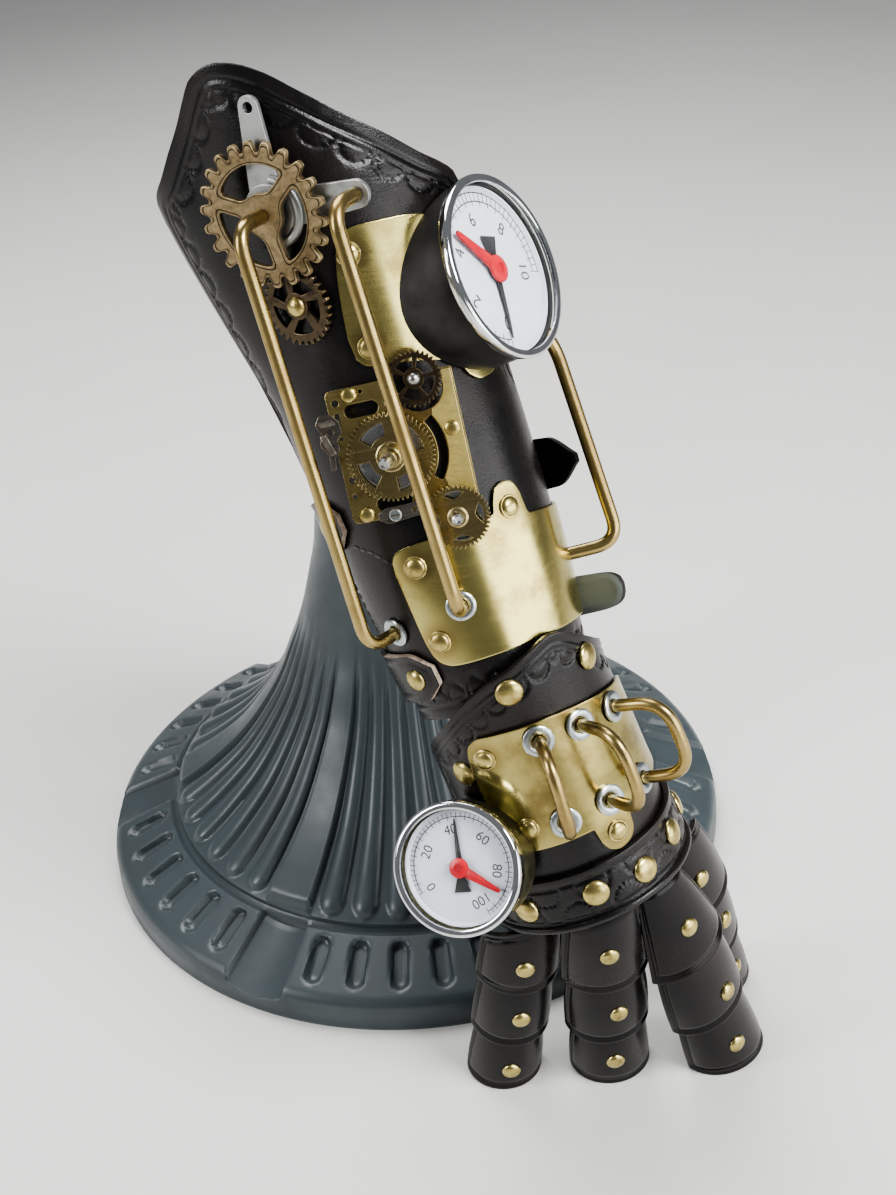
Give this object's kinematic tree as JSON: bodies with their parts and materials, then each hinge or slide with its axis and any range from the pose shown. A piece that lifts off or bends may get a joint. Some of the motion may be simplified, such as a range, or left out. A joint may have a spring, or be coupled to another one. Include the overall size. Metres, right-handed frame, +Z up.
{
  "type": "steampunk gauntlet on a display stand",
  "caption": "Black leather arm gauntlet with brass plates, tubes, gears, clock wheels and dial gauges, standing on its fingertips and held from behind by a fluted bell-shaped stand.",
  "frame": {"origin": "middle of the underside of the stand's foot, on the floor", "axes": "+Z up, -Y towards the side that the gauntlet shows, +X to its right"},
  "size_m": [0.298, 0.3715, 0.3954],
  "materials": {
    "slate_plastic": "satin moulded slate grey-green",
    "black_leather": "waxed near-black with brown sheen",
    "brass": "polished, lightly aged",
    "antique_bronze": "antique, darkened in the recesses",
    "dark_bronze": "blackened",
    "steel": "dull zinc",
    "chrome": "bright",
    "case_black": "satin black",
    "dial_white": "matt white with printed scale",
    "pointer_black": "matt",
    "pointer_red": "gloss",
    "clear_lens": "clear"
  },
  "bodies": {
    "gauntlet": {"big_wheel": "brass", "clock_plate": "brass", "crank_arm": "steel", "elbow_gear": "antique_bronze", "finger_1_lame_1": "black_leather", "finger_1_lame_2": "black_leather", "finger_1_lame_3": "black_leather", "finger_2_lame_1": "black_leather", "finger_2_lame_2": "black_leather", "finger_2_lame_3": "black_leather", "finger_3_lame_1": "black_leather", "finger_3_lame_2": "black_leather", "finger_3_lame_3": "black_leather", "finger_4_lame_1": "black_leather", "finger_4_lame_2": "black_leather", "finger_4_lame_3": "black_leather", "forearm_shell": "black_leather", "gauge_plate": "brass", "hand_guard": "black_leather", "hand_plate": "brass", "hand_tube_1": "brass", "hand_tube_2": "brass", "hand_tube_3": "brass", "hand_washer_1_foot": "steel", "hand_washer_1_top": "steel", "hand_washer_2_foot": "steel", "hand_washer_2_top": "steel", "hand_washer_3_foot": "steel", "hand_washer_3_top": "steel", "knuckle_band": "black_leather", "left_tube": "brass", "left_washer": "steel", "lower_bezel": "chrome", "lower_case": "brass", "lower_dial": "dial_white", "lower_keeper": "brass", "lower_lens": "clear_lens", "lower_strap": "black_leather", "middle_tube": "brass", "middle_washer": "steel", "right_tube": "brass", "small_gear": "dark_bronze", "small_wheel": "brass", "spoked_wheel": "dark_bronze", "stand_foot": "slate_plastic", "stand_post": "slate_plastic", "steel_bracket": "steel", "steel_click": "steel", "upper_bezel": "chrome", "upper_case": "case_black", "upper_dial": "dial_white", "upper_keeper": "brass", "upper_lens": "clear_lens", "upper_strap": "black_leather", "wrist_plate": "brass"},
    "upper_black_pointer": {"upper_black_pointer": "pointer_black"},
    "upper_red_pointer": {"upper_red_pointer": "pointer_red"},
    "lower_black_pointer": {"lower_black_pointer": "pointer_black"},
    "lower_red_pointer": {"lower_red_pointer": "pointer_red"}
  },
  "joints": [
    {"name": "upper_black_pointer_turn", "type": "hinge", "parent": "gauntlet", "child": "upper_black_pointer", "pos_m": [0.05196, -0.12484, 0.32615], "axis": [0.7889, -0.4328, 0.4363], "range_deg": [-270, 0]},
    {"name": "upper_red_pointer_turn", "type": "hinge", "parent": "gauntlet", "child": "upper_red_pointer", "pos_m": [0.05196, -0.12484, 0.32615], "axis": [0.7889, -0.4328, 0.4363], "range_deg": [-148, 122]},
    {"name": "lower_black_pointer_turn", "type": "hinge", "parent": "gauntlet", "child": "lower_black_pointer", "pos_m": [0.01918, -0.20793, 0.13987], "axis": [-0.3801, -0.7803, 0.4966], "range_deg": [-153, 117]},
    {"name": "lower_red_pointer_turn", "type": "hinge", "parent": "gauntlet", "child": "lower_red_pointer", "pos_m": [0.01918, -0.20793, 0.13987], "axis": [-0.3801, -0.7803, 0.4966], "range_deg": [-31, 239]}
  ]
}
